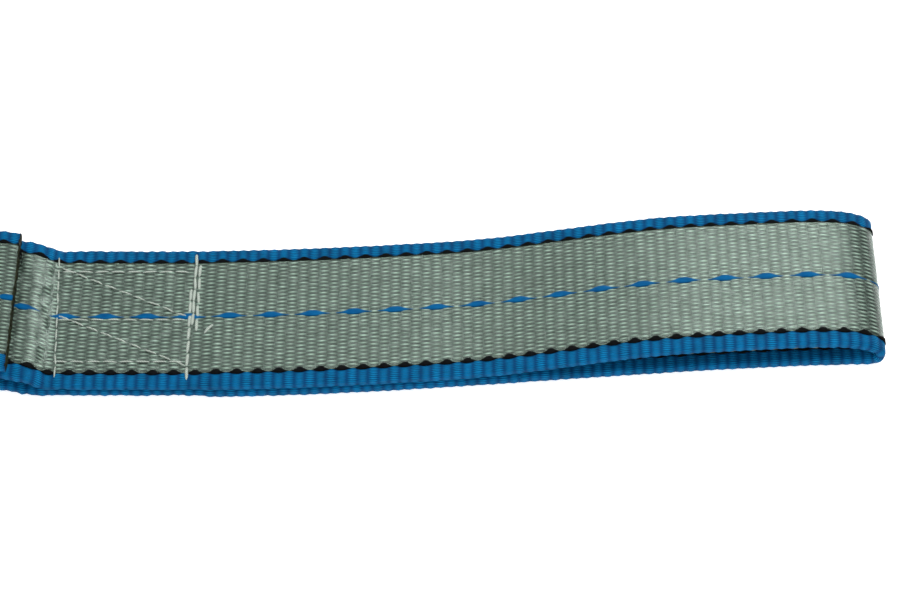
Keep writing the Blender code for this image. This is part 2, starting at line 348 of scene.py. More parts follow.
class Nodes:
    """Short calls for building a node tree."""

    def __init__(self, tree):
        self.tree = tree

    def add(self, kind, inputs=None, **settings):
        node = self.tree.nodes.new(kind)
        for key, value in settings.items():
            setattr(node, key, value)
        for key, value in (inputs or {}).items():
            self.plug(value, node.inputs[key])
        return node

    def plug(self, value, socket):
        if isinstance(value, bpy.types.Node):
            value = next(out for out in value.outputs if out.enabled)
        if isinstance(value, bpy.types.NodeSocket):
            self.tree.links.new(value, socket)
        else:
            socket.default_value = value

    def math(self, operation, *values):
        return self.add("ShaderNodeMath", dict(enumerate(values)), operation=operation)

    def times(self, first, second):
        return self.math("MULTIPLY", first, second)

    def attribute(self, name, kind="FLOAT"):
        inputs = {"Name": name}
        return self.add("GeometryNodeInputNamedAttribute", inputs, data_type=kind)

    def wave(self, value, period):
        """Cosine of a distance, one turn in each period."""
        return self.math("COSINE", self.times(value, 2 * math.pi / period))

    def mix(self, factor, first, second, blend="MIX"):
        inputs = {"Factor": factor, 6: first, 7: second}
        return self.add("ShaderNodeMix", inputs, data_type="RGBA", blend_type=blend).outputs[2]

    def ramp(self, value, low, high, to_low=0.0, to_high=1.0):
        limits = {"From Min": low, "From Max": high, "To Min": to_low, "To Max": to_high}
        return self.add("ShaderNodeMapRange", {"Value": value, **limits}).outputs[0]


def geometry_tree(name, sockets):
    """An empty Geometry Nodes tree with its sockets, input and output nodes."""
    tree = bpy.data.node_groups.new(name, "GeometryNodeTree")
    tree.is_modifier = True
    face = tree.interface
    face.new_socket("Geometry", in_out="INPUT", socket_type="NodeSocketGeometry")
    for label, kind in sockets.items():
        face.new_socket(label, in_out="INPUT", socket_type=f"NodeSocket{kind}")
    face.new_socket("Geometry", in_out="OUTPUT", socket_type="NodeSocketGeometry")
    nodes = Nodes(tree)
    return tree, nodes, nodes.add("NodeGroupInput"), nodes.add("NodeGroupOutput")


def finish_tree(nodes, geometry, material, output):
    """Turn instances to mesh, set the material and send the result out."""
    real = nodes.add("GeometryNodeRealizeInstances", {"Geometry": geometry})
    painted = nodes.add("GeometryNodeSetMaterial", {"Geometry": real, "Material": material})
    nodes.plug(painted, output.inputs[0])


def woven_relief_tree():
    """Plain weave: alternate ends float over alternate picks, with pick ribs."""
    sockets = {
        "Pick": "Float", "End": "Float", "Float Height": "Float",
        "Rib Height": "Float", "Unevenness": "Float", "Material": "Material",
    }
    tree, nodes, given, output = geometry_tree("woven_relief", sockets)
    keys = ("along", "across", "relief", "rumple")
    along, across, relief, rumple = (nodes.attribute(key) for key in keys)
    pick_turn = nodes.times(nodes.math("DIVIDE", along, given.outputs["Pick"]), math.pi)
    end_turn = nodes.times(nodes.math("DIVIDE", across, given.outputs["End"]), math.pi)
    egg = nodes.times(nodes.math("COSINE", pick_turn), nodes.math("COSINE", end_turn))
    square = nodes.times(egg, egg)
    egg = nodes.math("SUBTRACT", egg, nodes.times(square, 0.35))
    rib = nodes.math("COSINE", nodes.times(pick_turn, 2.0))
    noise = nodes.add("ShaderNodeTexNoise", {"Scale": 300.0, "Detail": 2.0})
    uneven = nodes.times(nodes.math("SUBTRACT", noise.outputs[0], 0.5), rumple)
    height = nodes.times(egg, given.outputs["Float Height"])
    height = nodes.math("MULTIPLY_ADD", rib, given.outputs["Rib Height"], height)
    height = nodes.math("MULTIPLY_ADD", uneven, given.outputs["Unevenness"], height)
    height = nodes.times(height, relief)
    outward = nodes.attribute("outward", "FLOAT_VECTOR")
    offset = nodes.add("ShaderNodeVectorMath", {0: outward, "Scale": height}, operation="SCALE")
    moved = nodes.add("GeometryNodeSetPosition", {"Geometry": given.outputs[0], "Offset": offset})
    finish_tree(nodes, moved, given.outputs["Material"], output)
    return tree


def sewn_seam_tree():
    """Stitches laid end to end along a seam's route."""
    sockets = {
        "Stitch": "Object", "Stitch Pitch": "Float", "Slack": "Float",
        "Seed": "Int", "Material": "Material",
    }
    tree, nodes, given, output = geometry_tree("sewn_seam", sockets)
    route = nodes.add("GeometryNodeMeshToCurve", {"Mesh": given.outputs[0]})
    spacing = {"Curve": route, "Length": given.outputs["Stitch Pitch"]}
    spaced = nodes.add("GeometryNodeResampleCurve", spacing, mode="LENGTH")
    tangent = nodes.add("GeometryNodeInputTangent")
    turn = nodes.add("FunctionNodeAlignRotationToVector", {"Vector": tangent}, axis="X")
    slack = given.outputs["Slack"]
    limits = {2: nodes.times(slack, -1.0), 3: slack, "Seed": given.outputs["Seed"]}
    jitter = nodes.add("FunctionNodeRandomValue", limits, data_type="FLOAT")
    skew = nodes.add("ShaderNodeCombineXYZ", {"Z": jitter.outputs[1]})
    euler = nodes.add("FunctionNodeEulerToRotation", {"Euler": skew})
    turns = {"Rotation": turn, "Rotate By": euler}
    skewed = nodes.add("FunctionNodeRotateRotation", turns, rotation_space="LOCAL")
    stitch = nodes.add("GeometryNodeObjectInfo", {"Object": given.outputs["Stitch"]})
    inputs = {"Points": spaced, "Instance": stitch.outputs["Geometry"], "Rotation": skewed}
    placed = nodes.add("GeometryNodeInstanceOnPoints", inputs)
    finish_tree(nodes, placed, given.outputs["Material"], output)
    return tree


# ---- materials


def new_material(name):
    """A named material with its nodes and its Principled shader."""
    material = bpy.data.materials.new(name)
    material.use_nodes = True
    shader = material.node_tree.nodes["Principled BSDF"]
    return material, Nodes(material.node_tree), shader


def web_place(nodes):
    """The along and across distances of a web surface, from its UV map."""
    uv = nodes.add("ShaderNodeUVMap", uv_map="UVMap")
    split = nodes.add("ShaderNodeSeparateXYZ", {0: uv})
    return uv, split.outputs[0], split.outputs[1]


def stretched_noise(nodes, uv, along, across, detail=2.0):
    """Noise drawn out along the yarns; the numbers are features per metre."""
    scaled = nodes.add(
        "ShaderNodeVectorMath", {0: uv, 1: (along, across, 1.0)}, operation="MULTIPLY")
    noise = nodes.add("ShaderNodeTexNoise", {"Vector": scaled, "Scale": 1.0, "Detail": detail})
    return noise.outputs[0]


def object_noise(nodes, scale, detail):
    """Noise by place in the object; the scale is features per metre."""
    place = nodes.add("ShaderNodeTexCoord").outputs["Object"]
    inputs = {"Vector": place, "Scale": scale, "Detail": detail}
    return nodes.add("ShaderNodeTexNoise", inputs).outputs[0]


def paint(nodes, shader, colour, rough, specular=0.5):
    """Give a shader its colour, roughness and specular level."""
    nodes.plug(colour, shader.inputs["Base Color"])
    nodes.plug(rough, shader.inputs["Roughness"])
    nodes.plug(specular, shader.inputs["Specular IOR Level"])


def add_bump(nodes, shader, height, distance, strength=1.0):
    inputs = {"Height": height, "Distance": distance, "Strength": strength}
    nodes.plug(nodes.add("ShaderNodeBump", inputs), shader.inputs["Normal"])


def float_tone(nodes, along, across):
    """A random brightness for every float of the weave."""
    column = nodes.math("FLOOR", nodes.math("MULTIPLY_ADD", along, 1 / PICK, 0.5))
    row = nodes.math("FLOOR", nodes.math("MULTIPLY_ADD", across, 1 / END_PITCH, 0.5))
    cell = nodes.add("ShaderNodeCombineXYZ", {0: column, 1: row})
    chance = nodes.add("ShaderNodeTexWhiteNoise", {"Vector": cell})
    return nodes.ramp(chance.outputs[0], 0.0, 1.0, 0.80, 1.20)


def grey_web_material():
    """Shiny grey polyester ends, with painted shade where they dive between the floats and a
    painted highlight on the crest of each float.
    """
    material, nodes, shader = new_material("grey polyester ground")
    uv, along, across = web_place(nodes)
    pick = nodes.wave(along, 2 * PICK)
    end = nodes.wave(across, 2 * END_PITCH)
    egg = nodes.times(pick, end)
    # painted shade: depth mixes the colour to a dark shade where the ends dive between the floats
    depth = nodes.ramp(egg, -0.25, 0.5)
    # painted shade: column darkens the gaps between the picks and lightens their crests
    column = nodes.ramp(nodes.wave(along, PICK), -1.0, 1.0, 0.72, 1.14)
    fibres = stretched_noise(nodes, uv, 260.0, 11000.0, 3.0)
    yarns = stretched_noise(nodes, uv, 90.0, 1500.0, 1.0)
    wear = stretched_noise(nodes, uv, 60.0, 90.0, 3.0)
    painted_dive_shade, face = (0.014, 0.023, 0.018, 1), (0.094, 0.148, 0.114, 1)
    colour = nodes.mix(depth, painted_dive_shade, face)
    # painted highlight: a pale glint colour on the crest of every float
    glint = nodes.ramp(egg, 0.55, 1.0, 0.0, 0.75)
    colour = nodes.mix(glint, colour, (0.28, 0.375, 0.31, 1))
    streak = nodes.ramp(fibres, 0.3, 0.72, 0.72, 1.22)
    tone = nodes.times(streak, nodes.ramp(yarns, 0.3, 0.7, 0.86, 1.12))
    tone = nodes.times(tone, nodes.ramp(wear, 0.35, 0.7, 0.90, 1.06))
    # weave is the painted pick-gap shade times a random tone for each float
    weave = nodes.times(column, float_tone(nodes, along, across))
    tone = nodes.times(tone, weave)
    colour = nodes.mix(1.0, colour, tone, "MULTIPLY")
    paint(nodes, shader, colour, nodes.ramp(fibres, 0.3, 0.7, 0.19, 0.30), 0.85)
    shader.inputs["Specular Tint"].default_value = (0.80, 1.0, 0.88, 1)
    add_bump(nodes, shader, fibres, 0.09 * MM, 0.8)
    return material


def blue_selvedge_material():
    """Dense blue selvedge: fine ends across the ribs of the picks, with painted shade in the gaps
    between the ribs and painted highlights on the ribs and fine ends.
    """
    material, nodes, shader = new_material("blue polyester selvedge")
    uv, along, across = web_place(nodes)
    rib = nodes.wave(along, PICK)
    ends = nodes.wave(across, SELVEDGE_TWILL)
    fine = nodes.times(ends, nodes.wave(along, 2 * PICK))
    fibres = stretched_noise(nodes, uv, 300.0, 9000.0, 3.0)
    wear = stretched_noise(nodes, uv, 120.0, 160.0, 3.0)
    # painted shade and light: lit is dark in the gaps between the ribs and bright on their crests
    lit = nodes.ramp(rib, -0.9, 0.9)
    colour = nodes.mix(lit, (0.0002, 0.046, 0.140, 1), (0.0003, 0.102, 0.262, 1))
    # painted highlight: the fine ends turn pale where they cross over the picks
    colour = nodes.mix(nodes.ramp(fine, 0.0, 1.0, 0.0, 0.7), colour, (0.001, 0.185, 0.38, 1))
    streak = nodes.ramp(fibres, 0.3, 0.7, 0.72, 1.22)
    tone = nodes.times(streak, nodes.ramp(wear, 0.3, 0.7, 0.80, 1.15))
    # the fine ends are darker between them and paler on them: partly their twill pattern, partly
    # painted shade
    tone = nodes.times(tone, nodes.ramp(ends, -1.0, 1.0, 0.72, 1.18))
    colour = nodes.mix(1.0, colour, tone, "MULTIPLY")
    paint(nodes, shader, colour, nodes.ramp(fibres, 0.3, 0.7, 0.5, 0.7), 0.05)
    height = nodes.math("MULTIPLY_ADD", fine, 0.7, fibres)
    add_bump(nodes, shader, height, 0.14 * MM)
    return material


def yarn_material(name, dark, light, rough):
    """Filament yarn with fine strands along its length."""
    material, nodes, shader = new_material(name)
    uv = web_place(nodes)[0]
    strands = stretched_noise(nodes, uv, 300.0, 12000.0, 3.0)
    patches = stretched_noise(nodes, uv, 250.0, 700.0, 2.0)
    mixed = nodes.math("MULTIPLY_ADD", patches, 0.4, nodes.times(strands, 0.6))
    colour = nodes.mix(nodes.ramp(mixed, 0.32, 0.68), (*dark, 1), (*light, 1))
    sheen = nodes.ramp(strands, 0.3, 0.7, rough - 0.08, rough + 0.12)
    paint(nodes, shader, colour, sheen, 0.04)
    add_bump(nodes, shader, strands, 0.08 * MM)
    return material


def thread_material():
    """Grey bonded sewing thread with a plied twist."""
    material, nodes, shader = new_material("grey sewing thread")
    place = nodes.add("ShaderNodeTexCoord").outputs["Object"]
    twist = nodes.add(
        "ShaderNodeTexWave", {"Vector": place, "Scale": 900.0, "Distortion": 2.0},
        bands_direction="DIAGONAL")
    fuzz = object_noise(nodes, 4200.0, 2.0)
    half_twist = nodes.times(twist.outputs[1], 0.5)
    mixed = nodes.math("MULTIPLY_ADD", fuzz, 0.5, half_twist)
    blend = nodes.ramp(mixed, 0.2, 0.8)
    colour = nodes.mix(blend, (0.15, 0.185, 0.160, 1), (0.50, 0.56, 0.50, 1))
    paint(nodes, shader, colour, nodes.ramp(fuzz, 0.3, 0.7, 0.4, 0.6))
    add_bump(nodes, shader, mixed, 0.06 * MM)
    return material


def singed_material():
    """Heat-sealed cut end: hard, dark olive and blistered."""
    material, nodes, shader = new_material("singed cut end")
    blister = object_noise(nodes, 900.0, 4.0)
    char = nodes.ramp(blister, 0.35, 0.68)
    colour = nodes.mix(char, (0.0012, 0.0016, 0.0012, 1), (0.022, 0.025, 0.008, 1))
    paint(nodes, shader, colour, nodes.ramp(blister, 0.3, 0.7, 0.35, 0.7), 0.08)
    add_bump(nodes, shader, blister, 0.2 * MM)
    return material


def label_material():
    """Blank blue woven label: a fine twill with pale scuffs."""
    material, nodes, shader = new_material("blue label cloth")
    place = nodes.add("ShaderNodeTexCoord").outputs["Object"]
    split = nodes.add("ShaderNodeSeparateXYZ", {0: place})
    weft = nodes.wave(split.outputs[0], 0.5 * MM)
    slope = nodes.math("ADD", split.outputs[0], split.outputs[1])
    weft_tone = nodes.ramp(weft, -1.0, 1.0, 0.5, 1.0)
    twill = nodes.times(nodes.wave(slope, 1.1 * MM), weft_tone)
    cloud = object_noise(nodes, 120.0, 5.0)
    lit = nodes.ramp(twill, -1.0, 1.0)
    colour = nodes.mix(lit, (0.002, 0.028, 0.110, 1), (0.006, 0.085, 0.260, 1))
    scuff = nodes.ramp(cloud, 0.56, 0.74, 0.0, 0.35)
    colour = nodes.mix(scuff, colour, (0.06, 0.17, 0.36, 1))
    tone = nodes.ramp(cloud, 0.3, 0.7, 0.75, 1.15)
    colour = nodes.mix(1.0, colour, tone, "MULTIPLY")
    paint(nodes, shader, colour, nodes.ramp(cloud, 0.3, 0.7, 0.5, 0.75), 0.2)
    add_bump(nodes, shader, twill, 0.12 * MM)
    return material


def floor_material():
    """Pale floor that gives off some light of its own."""
    material, nodes, shader = new_material("pale studio floor")
    tone = nodes.ramp(object_noise(nodes, 40.0, 3.0), 0.3, 0.7)
    colour = nodes.mix(tone, (0.88, 0.88, 0.88, 1), (0.90, 0.90, 0.90, 1))
    paint(nodes, shader, colour, 0.8)
    shader.inputs["Emission Color"].default_value = (1, 1, 1, 1)
    shader.inputs["Emission Strength"].default_value = 0.55
    return material


# ---- web pieces


def rumpled(x):
    """How much the web puckers: more in a throat box, most at its back seam."""
    reach = np.abs(x)
    box = plateau(reach, 252 * MM, 300 * MM, 8 * MM)
    back_seam = plateau(reach, 253 * MM, 266 * MM, 4 * MM)
    return 1.0 + 1.6 * box + 1.8 * back_seam


def joined(**blocks):
    """Each list of blocks as one array."""
    return {key: np.concatenate(block) for key, block in blocks.items()}


def point_rows(*axes):
    """Points, one in each row, from their x, y and z over a grid."""
    return np.stack(np.broadcast_arrays(*axes), axis=-1).reshape(-1, 3)


def laid_points(x, z, nx, nz, y, off):
    """Points off the path's middle line, one row of them at each length."""
    return point_rows(x[:, None] + nx[:, None] * off, y, z[:, None] + nz[:, None] * off)


def ground_shell(name, first, last, fine):
    """Closed band of grey ground between two pick gaps, before its relief."""
    count = last - first
    start = RIGHT_PIVOT_LENGTH + first * PICK
    per_pick = 4 if fine else 2
    ends = GROUND_ENDS * (2 if fine else 1)
    outer_along = np.linspace(0.0, count * PICK, per_pick * count + 1)
    outer_across = np.linspace(-GROUND_HALF, GROUND_HALF, 2 * ends + 1)
    inner_along = outer_along[::2] if fine else outer_along
    inner_across = outer_across[::2] if fine else outer_across
    points, outward, along, across, relief, rumple, grids = [], [], [], [], [], [], []
    base = 0
    for face, u, v in ((1, outer_along, outer_across), (-1, inner_along, inner_across)):
        rim = np.clip((GROUND_HALF - np.abs(v)) / (0.5 * MM), 0.0, 1.0)
        depth = 0.5 * MM * (1.0 - rim) + 0.22 * MM * (np.abs(v) < 0.5 * MM)
        x, z, nx, nz, half = PATH.at(start + u)
        off = face * (half[:, None] - depth)
        y = sway(x)[:, None] + v
        points.append(laid_points(x, z, nx, nz, y, off))
        normal = face * np.stack([nx, np.zeros(len(u)), nz], axis=1)
        outward.append(np.repeat(normal, len(v), axis=0))
        along.append(np.repeat(u + (first + 0.5) * PICK, len(v)))
        across.append(np.tile(v, len(u)))
        relief.append(np.tile(rim, len(u)))
        rumple.append(np.repeat(rumpled(x), len(v)))
        grids.append(base + np.arange(len(u) * len(v)).reshape(len(u), len(v)))
        base += len(u) * len(v)
    outer, inner = grids
    faces = grid_faces(outer) + grid_faces(inner, flip=True)
    faces += bridge(outer[:, 0], inner[:, 0]) + bridge(outer[:, -1], inner[:, -1], flip=True)
    faces += bridge(outer[0], inner[0], flip=True) + bridge(outer[-1], inner[-1])
    values = joined(along=along, across=across, relief=relief, rumple=rumple)
    sharp = np.concatenate([outer[0], outer[-1], inner[0], inner[-1]])
    return make_mesh(name, np.concatenate(points), faces, values, sharp, np.concatenate(outward))


def tube_faces(index):
    """Faces of a closed sweep: index holds one ring of points in each row."""
    faces = []
    rows, ring = index.shape
    for i in range(rows - 1):
        for k in range(ring):
            n = (k + 1) % ring
            faces.append((index[i, k], index[i, n], index[i + 1, n], index[i + 1, k]))
    faces.append(tuple(index[0, ::-1].tolist()))
    faces.append(tuple(index[-1].tolist()))
    return faces


def selvedge_pair(name, first, last):
    """Both blue selvedges of a segment, each a rounded band along its edge."""
    count = last - first
    start = RIGHT_PIVOT_LENGTH + first * PICK
    u = np.linspace(0.0, count * PICK, 4 * count + 1)
    x, z, nx, nz, half = PATH.at(start + u)
    ring = 20
    angles = 2 * math.pi * (np.arange(ring) + 0.5) / ring + math.pi
    cosine, sine = np.cos(angles), np.sin(angles)
    rounded = 2 / 3.4
    wide = (WEB_HALF - SELVEDGE_INNER) / 2
    profile_v = np.sign(cosine) * np.abs(cosine) ** rounded * wide + SELVEDGE_INNER + wide
    profile_n = np.sign(sine) * np.abs(sine) ** rounded
    girth = np.concatenate([[0.0], np.cumsum(np.hypot(
        np.diff(profile_v), np.diff(profile_n) * HALF))])
    points, outward, along, across, faces, sharp = [], [], [], [], [], []
    for side in (1, -1):
        base = len(points) * len(u) * ring
        off = half[:, None] * profile_n
        y = sway(x)[:, None] + side * profile_v
        outward.append(point_rows(nx[:, None] * sine, side * cosine, nz[:, None] * sine))
        index = base + np.arange(len(u) * ring).reshape(len(u), ring)
        made = tube_faces(index)
        faces += made if side < 0 else [face[::-1] for face in made]
        sharp += [index[0], index[-1]]
        points.append(laid_points(x, z, nx, nz, y, off))
        along.append(np.repeat(u + (first + 0.5) * PICK, ring))
        across.append(np.tile(girth, len(u)) + (0.0 if side > 0 else 40 * MM))
    values = joined(along=along, across=across)
    values["relief"] = np.ones(2 * len(u) * ring)
    values["rumple"] = np.tile(np.repeat(rumpled(x), ring), 2)
    sharp = np.concatenate(sharp)
    return make_mesh(name, np.concatenate(points), faces, values, sharp, np.concatenate(outward))


def float_yarns(name, first, last, lines, per_pick):
    """Yarns that rise over the web and dive into it, one sweep for each line."""
    count = last - first
    start = RIGHT_PIVOT_LENGTH + first * PICK
    u = np.linspace(0.0, count * PICK, per_pick * count + 1)
    x, z, nx, nz, half = PATH.at(start + u)
    distance = u + (first + 0.5) * PICK
    ring = 6
    angles = 2 * math.pi * np.arange(ring) / ring
    points, along, across, faces, sharp = [], [], [], [], []
    for number, (v, face, period, phase, wide, lift) in enumerate(lines):
        show = np.cos(2 * math.pi * (distance - phase) / period)
        swell = np.clip(0.42 + 0.62 * show, 0.15, 1.0)
        centre = half + lift * (show - 0.45)
        off = face * (centre[:, None] + 0.24 * MM * np.sin(angles))
        beside = face * wide / 2 * swell[:, None] * np.cos(angles)
        y = (sway(x) + v)[:, None] + beside
        index = number * len(u) * ring + np.arange(len(u) * ring).reshape(len(u), ring)
        faces += tube_faces(index)
        sharp += [index[0], index[-1]]
        points.append(laid_points(x, z, nx, nz, y, off))
        along.append(np.repeat(distance, ring))
        across.append(np.tile(np.arange(ring) * 0.3 * MM + number * 5 * MM, len(u)))
    values = joined(along=along, across=across)
    return make_mesh(name, np.concatenate(points), faces, values, np.concatenate(sharp))


def face_outwards(piece):
    """Recalculate the faces of a closed piece so that they point outwards."""
    shape = bmesh.new()
    shape.from_mesh(piece.data)
    bmesh.ops.recalc_face_normals(shape, faces=shape.faces)
    shape.to_mesh(piece.data)
    shape.free()


def fit(piece, slot, body, finishes):
    """Give a closed piece its material and the body that it rides on."""
    face_outwards(piece)
    piece.data.materials.append(finishes[slot])
    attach(piece, body)


def side_segments(side, sign):
    """Segments of one end: name, run ends, fineness, bodies, zone and CAD nodes."""
    upper = "outward" if sign > 0 else "home"
    body, throat = f"{side}_body", f"{side}_throat"
    inner, outer, low = f"{side}_upper_inner", f"{side}_upper_outer", f"{side}_lower_outer"
    crown_high, crown_low = CROWN_PIVOT.z + 1.7 * MM, CROWN_PIVOT.z - 0.3 * MM
    throat_zone = ((THROAT_HINGE - 6 * MM, 0), (THROAT_HINGE + 4.5 * MM, 0))
    root_zone = ((EYE_ROOT.x - 3 * MM, 0), (EYE_ROOT.x + 9 * MM, 0))
    bend_zone = ((LEG_BEND.x - 13 * MM, 0), (LEG_BEND.x + 13 * MM, 0))
    body_zone = ((BODY_HINGE - 12 * MM, 0), (BODY_HINGE + 12 * MM, 0))
    segments = [
        ("throat_top", (upper, 240), (upper, 284), True, (body, throat), throat_zone,
         [f"{side}_throat_top_ply"]),
        ("eye_root", (upper, 284), (upper, 360), True, (throat, inner), root_zone,
         [f"{side}_eye_upper_inner"]),
        ("eye_rise", (upper, 360), (upper, 455), True, (inner, outer), bend_zone,
         [f"{side}_eye_upper_outer"]),
        ("crown", (upper, 455), ("under", 440), True, (outer, low),
         ((0, crown_high), (0, crown_low)), [f"{side}_eye_lower_outer"]),
        ("leg_under", ("under", 440), ("under", OPEN_PIVOT / MM), False, (low,), None, []),
        ("leg_root", ("under", OPEN_PIVOT / MM), ("under", 300), False, (throat,), None,
         [f"{side}_throat_bottom_ply"]),
        ("throat_bottom", ("under", 300), ("under", 200), False, (body, throat), throat_zone,
         [f"{side}_body_bottom_ply"]),
        ("body_bottom", ("under", 200), ("under", 0), False, ("middle", body), body_zone,
         ["body_bottom_ply"]),
    ]
    if sign > 0:
        segments.append(("under_tail", (upper, UNDER_TAIL_START / MM), (upper, 240), False,
                         (body,), None, ["splice_under_tail"]))
        segments.append(("over_tail", ("home", 0), ("home", OVER_TAIL_END / MM), True,
                         ("middle", body), body_zone, ["splice_over_tail", "body_top_ply"]))
    else:
        segments.append(("body_top", (upper, 240), (upper, 0), True, ("middle", body),
                         body_zone, ["left_body_top_ply"]))
    return segments


def ride_or_blend(piece, bodies):
    """Ride on the only body; a piece between two bodies only has its place baked into its mesh.
    """
    if len(bodies) == 1:
        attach(piece, bodies[0])
        return
    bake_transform(piece)


def build_web(finishes):
    """Every segment of the web: ground, selvedges, marker and tracer yarns."""
    relief = woven_relief_tree()
    marker_v = GROUND_HALF - 0.05 * MM
    for side, sign in (("right", 1), ("left", -1)):
        for name, begin, end, fine, bodies, zone, nodes in side_segments(side, sign):
            picks = sorted(pick_at(run, sign * x * MM) for run, x in (begin, end))
            title = f"{side}_{name}"
            ground = ground_shell(f"{title}_ground", *picks, fine)
            selvedge = selvedge_pair(f"{title}_selvedge", *picks)
            for piece, slot, pitch, float_height, rib in (
                (ground, "ground_web", END_PITCH, FLOAT_HEIGHT, GROUND_RIB),
                (selvedge, "selvedge_web", SELVEDGE_TWILL / 2, 0.0, SELVEDGE_RIB),
            ):
                bake_nodes(piece, relief, {
                    "Pick": PICK, "End": pitch, "Float Height": float_height,
                    "Rib Height": rib, "Unevenness": UNEVENNESS, "Material": finishes[slot],
                })
            markers, tracers = [], []
            for face in (1, -1):
                markers.append((marker_v, face, 2 * PICK, PICK, 1.6 * MM, 0.30 * MM))
                markers.append((-marker_v, face, 2 * PICK, PICK, 2.1 * MM, 0.32 * MM))
                tracers.append((0.0, face, 4 * PICK, -2 * PICK, 2.2 * MM, 0.28 * MM))
            per_pick = 4 if fine else 3
            marker = float_yarns(f"{title}_marker", *picks, markers, per_pick)
            tracer = float_yarns(f"{title}_tracer", *picks, tracers, per_pick)
            marker.data.materials.append(finishes["marker_yarn"])
            tracer.data.materials.append(finishes["tracer_yarn"])
            parts = {
                "ground_web": ground, "selvedge_web": selvedge,
                "marker_yarn": marker, "tracer_yarn": tracer,
            }
            for slot, piece in parts.items():
                face_outwards(piece)
                ride_or_blend(piece, bodies)
            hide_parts(*nodes)
        pivot_roll(side, sign, finishes)


def pivot_roll(side, sign, finishes):
    """Round core of the web at an eye's open pivot, seen only when the eye opens."""
    rows, ring, radius = 3, 16, 1.25 * MM
    length = RIGHT_PIVOT_LENGTH if sign > 0 else LEFT_PIVOT_LENGTH
    pivot_x = sign * OPEN_PIVOT
    edge = WEB_HALF - 0.4 * MM
    bands = (
        ("ground", "ground_web", -GROUND_HALF, GROUND_HALF),
        ("far_selvedge", "selvedge_web", SELVEDGE_INNER, edge),
        ("near_selvedge", "selvedge_web", -edge, -SELVEDGE_INNER),
    )
    for band, slot, low, high in bands:
        across = np.repeat(np.linspace(low, high, rows), ring)
        angles = np.tile(2 * math.pi * (np.arange(ring) + 0.5) / ring, rows)
        points = np.stack([
            pivot_x + radius * np.cos(angles),
            across + float(sway(pivot_x)),
            HALF + radius * np.sin(angles),
        ], axis=1)
        along = length - RIGHT_PIVOT_LENGTH + radius * angles + PICK / 2
        values = {"along": along, "across": across}
        index = np.arange(rows * ring).reshape(rows, ring)
        piece = make_mesh(f"{side}_pivot_{band}", points, tube_faces(index), values)
        fit(piece, slot, f"{side}_throat", finishes)


# ---- sewing


def stitch_shape(length, radius):
    """One float of plied thread: arched, with both ends diving into the web."""
    rows, ring = 9, 9
    points = []
    for i in range(rows):
        t = i / (rows - 1)
        rise = math.sin(math.pi * t)
        thick = radius * (0.35 + 0.65 * rise ** 0.6 if 0 < t < 1 else 0.25)
        for k in range(ring):
            angle = 2 * math.pi * k / ring
            lobe = 1.0 + 0.14 * math.cos(3 * angle - 9.0 * t)
            y = thick * lobe * math.cos(angle)
            z = thick * lobe * math.sin(angle) * 0.8 + radius * (1.15 * rise - 0.75)
            points.append(((t - 0.5) * length, y, z))
    index = np.arange(rows * ring).reshape(rows, ring)
    piece = make_mesh("thread_float", np.array(points), tube_faces(index))
    face_outwards(piece)
    piece.hide_render = True
    return piece


def route_piece(name, routes):
    """Loose edges that follow each route of a seam, given as points."""
    points, edges = [], []
    for route in routes:
        first = len(points)
        points += route
        edges += [(first + i, first + i + 1) for i in range(len(route) - 1)]
    mesh = bpy.data.meshes.new(name)
    mesh.from_pydata(points, edges, [])
    return in_scene(name, mesh)


def on_layer(x, y, height, sign):
    """Point of a seam on either end, moved sideways as the web lies."""
    return (sign * x, sign * (y + float(sway(x))), height)


def sew(name, routes, stitch, pitch, tree, finishes, body, node, seed):
    """Sew a thread along its routes, in place of the CAD's node."""
    piece = route_piece(name, routes)
    bake_nodes(piece, tree, {
        "Stitch": stitch, "Stitch Pitch": pitch, "Slack": THREAD_SLACK,
        "Seed": seed, "Material": finishes["sewing_thread"],
    })
    piece.data.polygons.foreach_set("use_smooth", [True] * len(piece.data.polygons))
    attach(piece, body)
    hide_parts(node)


def throat_routes():
    """Seams of a throat box as (x, y) routes, in millimetres at one end."""
    return {
        "cross": [
            [(303.0, 21.0), (303.0, -1.0)],
            [(304.2, 17.0), (304.2, -3.0)],
            [(302.0, 8.0), (302.3, -20.5)],
        ],
        "back": [[(263.2, 20.0), (265.2, -20.0)]],
        "w": [
            [(266.5, 16.5), (299.0, 16.5)],
            [(266.0, 17.0), (300.0, 0.5)],
            [(266.5, -1.3), (299.0, -1.3)],
            [(266.0, -0.5), (300.0, -17.0)],
            [(266.5, -16.5), (299.0, -16.5)],
        ],
    }


def thread_level(node, thread):
    """Height of the stitches on the outer face of a thread's CAD node."""
    low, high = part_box(node)
    return low.z - 0.1 * MM if thread == "needle" else high.z + 0.15 * MM


